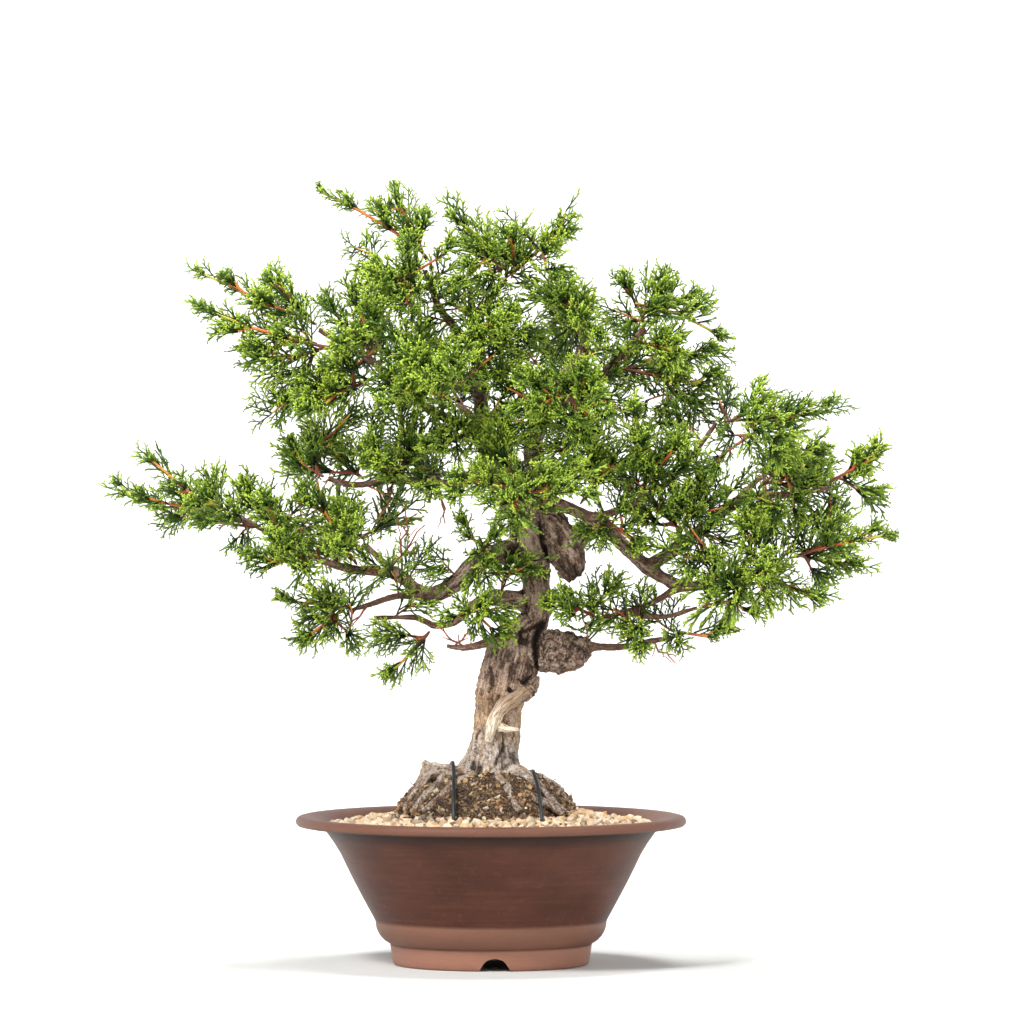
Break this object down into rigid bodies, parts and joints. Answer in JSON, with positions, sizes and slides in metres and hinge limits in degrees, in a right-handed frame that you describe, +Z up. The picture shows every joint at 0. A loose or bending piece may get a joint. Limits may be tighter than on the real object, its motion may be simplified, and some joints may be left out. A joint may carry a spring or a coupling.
{
  "type": "itoigawa juniper bonsai",
  "caption": "Potted itoigawa juniper with a bent trunk, spreading limbs and feathery scale-leaf sprays, standing on a mound of old soil in a round unglazed clay bowl.",
  "frame": {"origin": "on the table under the middle of the whole tree and pot, at the underside of the foot ring", "axes": "+Z up; +X to the right as the tree is seen from its front; -Y towards the viewer; X is the widest way across"},
  "size_m": [0.5222, 0.291, 0.5104],
  "materials": {
    "clay": "unglazed matt",
    "drain_net": "matt",
    "pumice": "rough",
    "old_soil": "rough, crumbly",
    "bark": "rough bark",
    "coated_cord": "satin",
    "foliage_fresh": "waxy living scale leaves",
    "foliage_leaf": "waxy living scale leaves",
    "foliage_shade": "waxy living scale leaves"
  },
  "bodies": {
    "root": {"pot": "clay", "drain_screen": "drain_net", "gravel": "pumice", "root_ball": "old_soil", "trunk_and_branches": "bark", "tie_left": "coated_cord", "tie_right": "coated_cord", "foliage_spray_01": "foliage_leaf", "foliage_spray_02": "foliage_shade", "foliage_spray_03": "foliage_leaf", "foliage_spray_04": "foliage_shade", "foliage_spray_05": "foliage_shade", "foliage_spray_06": "foliage_shade", "foliage_spray_07": "foliage_shade", "foliage_spray_08": "foliage_shade", "foliage_spray_09": "foliage_shade", "foliage_spray_10": "foliage_leaf", "foliage_spray_11": "foliage_leaf", "foliage_spray_12": "foliage_leaf", "foliage_spray_13": "foliage_leaf", "foliage_spray_14": "foliage_leaf", "foliage_spray_15": "foliage_fresh", "foliage_spray_16": "foliage_fresh", "foliage_spray_17": "foliage_leaf", "foliage_spray_18": "foliage_leaf", "foliage_spray_19": "foliage_fresh", "foliage_spray_20": "foliage_leaf", "foliage_spray_21": "foliage_leaf", "foliage_spray_22": "foliage_leaf", "foliage_spray_23": "foliage_fresh", "foliage_spray_24": "foliage_fresh", "foliage_spray_25": "foliage_fresh", "foliage_spray_26": "foliage_fresh", "foliage_spray_27": "foliage_leaf", "foliage_spray_28": "foliage_fresh", "foliage_spray_29": "foliage_fresh", "foliage_spray_30": "foliage_leaf", "foliage_spray_31": "foliage_leaf", "foliage_spray_32": "foliage_leaf", "foliage_spray_33": "foliage_leaf", "foliage_spray_34": "foliage_leaf", "foliage_spray_35": "foliage_leaf", "foliage_spray_36": "foliage_shade", "foliage_spray_37": "foliage_shade", "foliage_spray_38": "foliage_leaf", "foliage_spray_39": "foliage_leaf", "foliage_spray_40": "foliage_leaf", "foliage_spray_41": "foliage_leaf", "foliage_spray_42": "foliage_leaf", "foliage_spray_43": "foliage_leaf", "foliage_spray_44": "foliage_leaf", "foliage_spray_45": "foliage_shade", "foliage_spray_46": "foliage_shade", "foliage_spray_47": "foliage_shade", "foliage_spray_48": "foliage_shade", "foliage_spray_49": "foliage_shade", "foliage_spray_50": "foliage_shade", "foliage_spray_51": "foliage_shade", "foliage_spray_52": "foliage_shade", "foliage_spray_53": "foliage_leaf"}
  },
  "joints": []
}
